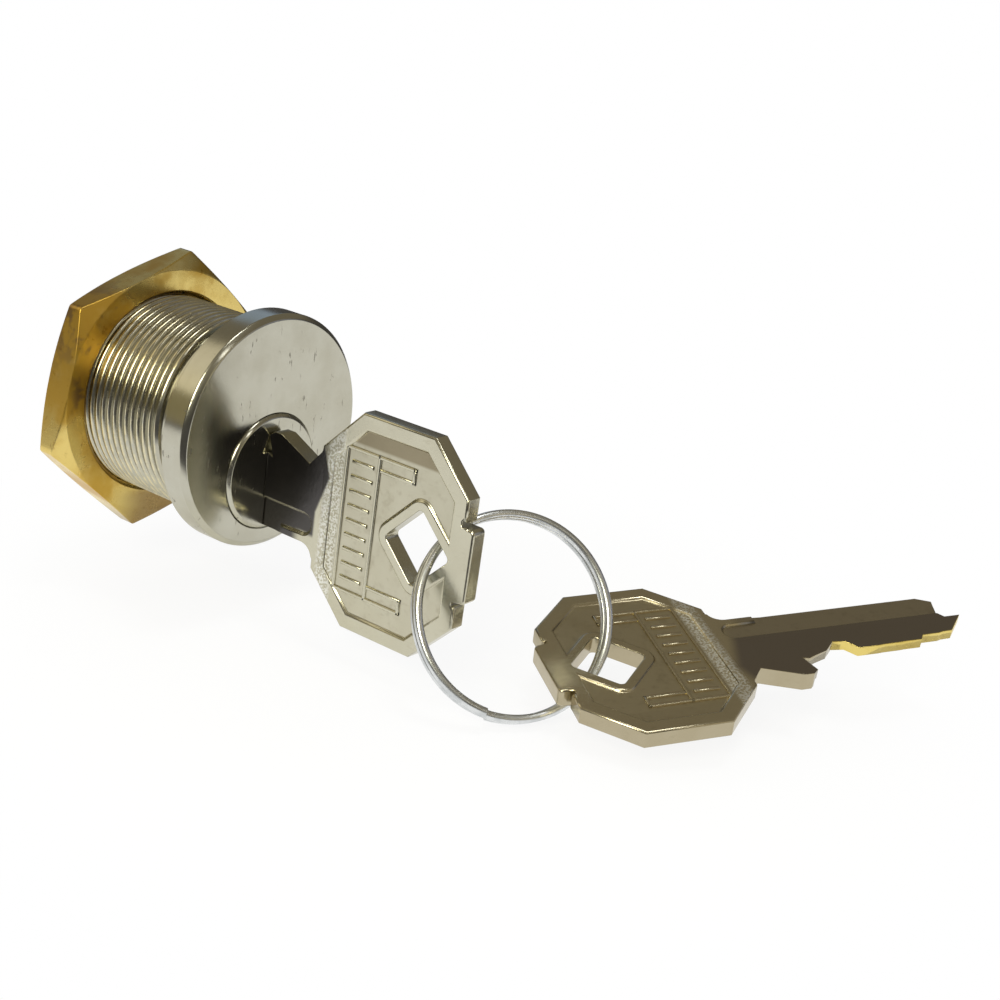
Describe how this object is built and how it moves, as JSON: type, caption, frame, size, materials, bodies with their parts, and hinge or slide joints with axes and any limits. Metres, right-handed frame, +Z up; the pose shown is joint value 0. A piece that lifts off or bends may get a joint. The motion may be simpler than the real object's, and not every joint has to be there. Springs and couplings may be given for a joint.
{
  "type": "cabinet lock",
  "caption": "Threaded round cabinet lock with a pin tumbler plug, rear cam, hex nut, a key in the plug and a spare key on a split ring.",
  "frame": {"origin": "centre of the barrel at the back face of the flange, where the panel's outer face lies", "axes": "+Y along the barrel axis into the cabinet, -Y out of the keyhole to the user, +Z up from the plug towards the pin chambers"},
  "size_m": [0.067, 0.0973, 0.0401],
  "materials": {
    "nickel_plate": "nickel plated brass, lightly satin, turned",
    "brass": "bare machined brass",
    "pin_brass": "bare turned brass",
    "nickel_silver_light": "stamped nickel silver, satin",
    "nickel_silver_dark": "stamped nickel silver, tarnished satin",
    "spring_steel": "bright drawn wire",
    "zinc_steel": "zinc plated stamped steel"
  },
  "bodies": {
    "lock_body": {"housing": "nickel_plate", "driver_pin_1": "pin_brass", "driver_pin_2": "pin_brass", "driver_pin_3": "pin_brass", "driver_pin_4": "pin_brass", "driver_pin_5": "pin_brass", "pin_spring_1": "spring_steel", "pin_spring_2": "spring_steel", "pin_spring_3": "spring_steel", "pin_spring_4": "spring_steel", "pin_spring_5": "spring_steel", "chamber_plug_1": "nickel_plate", "chamber_plug_2": "nickel_plate", "chamber_plug_3": "nickel_plate", "chamber_plug_4": "nickel_plate", "chamber_plug_5": "nickel_plate"},
    "turning_plug": {"plug": "nickel_plate", "stop_washer": "zinc_steel", "cam": "zinc_steel", "cam_lock_washer": "zinc_steel", "cam_screw": "zinc_steel", "key_pin_1": "pin_brass", "key_pin_2": "pin_brass", "key_pin_3": "pin_brass", "key_pin_4": "pin_brass", "key_pin_5": "pin_brass"},
    "nut": {"hex_nut": "brass"},
    "key_in_lock": {"inserted_key": "nickel_silver_light"},
    "split_ring": {"key_ring": "spring_steel"},
    "loose_key": {"spare_key": "nickel_silver_dark"}
  },
  "joints": [
    {"name": "plug_turn", "type": "hinge", "parent": "lock_body", "child": "turning_plug", "pos_m": [0, 0, -0.0047], "axis": [0, 1, 0], "range_deg": [0, 90]},
    {"name": "key_slide", "type": "slide", "parent": "turning_plug", "child": "key_in_lock", "axis": [0, -1, 0], "range_m": [0, 0.024]},
    {"name": "ring_swing", "type": "hinge", "parent": "key_in_lock", "child": "split_ring", "pos_m": [0, -0.0278, -0.0064], "axis": [1, 0, 0], "range_deg": [-60, 70]},
    {"name": "spare_key_round_ring", "type": "hinge", "parent": "split_ring", "child": "loose_key", "pos_m": [0.00547, -0.03658, -0.01242], "axis": [-0.483, -0.7136, 0.5074], "range_deg": [-50, 45]},
    {"name": "nut_travel", "type": "slide", "parent": "lock_body", "child": "nut", "axis": [0, 1, 0], "range_m": [-0.012, 0.0086]}
  ]
}
